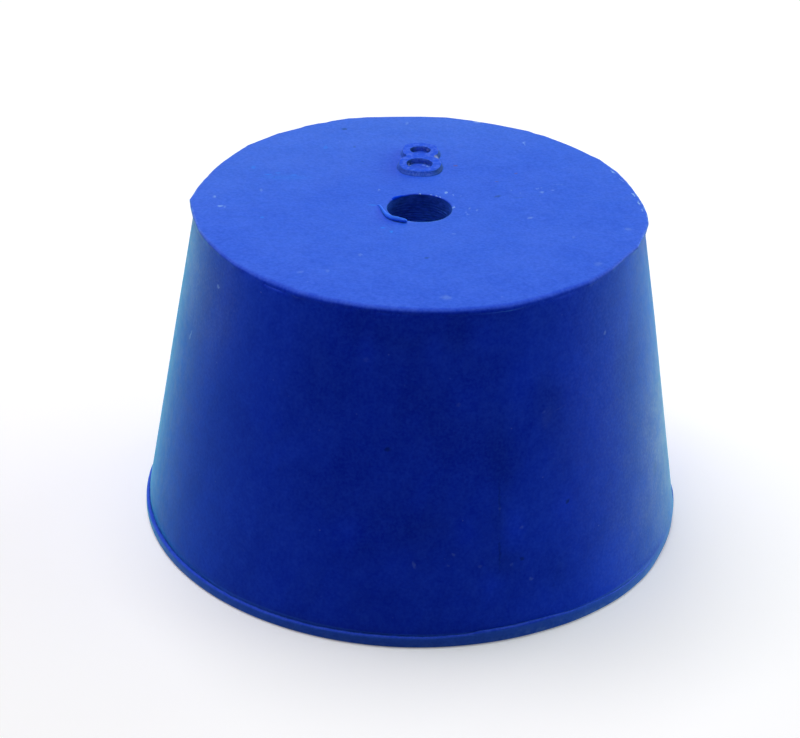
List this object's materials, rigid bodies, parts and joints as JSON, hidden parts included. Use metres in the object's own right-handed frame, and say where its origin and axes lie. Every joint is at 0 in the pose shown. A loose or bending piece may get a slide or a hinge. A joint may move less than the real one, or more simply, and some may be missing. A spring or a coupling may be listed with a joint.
{
  "type": "rubber stopper",
  "caption": "Tapered rubber stopper, moulded in one piece, with a straight hole along its axis for a glass tube and a plain size number on its small end.",
  "frame": {"origin": "middle of the large end, which the stopper stands on", "axes": "+Z along the taper's axis and the bore, from the large end up to the small end; X and Y lie in the large end's plane"},
  "size_m": [0.0412, 0.0412, 0.025],
  "materials": {
    "blue_rubber": "matt moulded rubber with a faint bloom"
  },
  "bodies": {
    "root": {"stopper": "blue_rubber"}
  },
  "joints": []
}
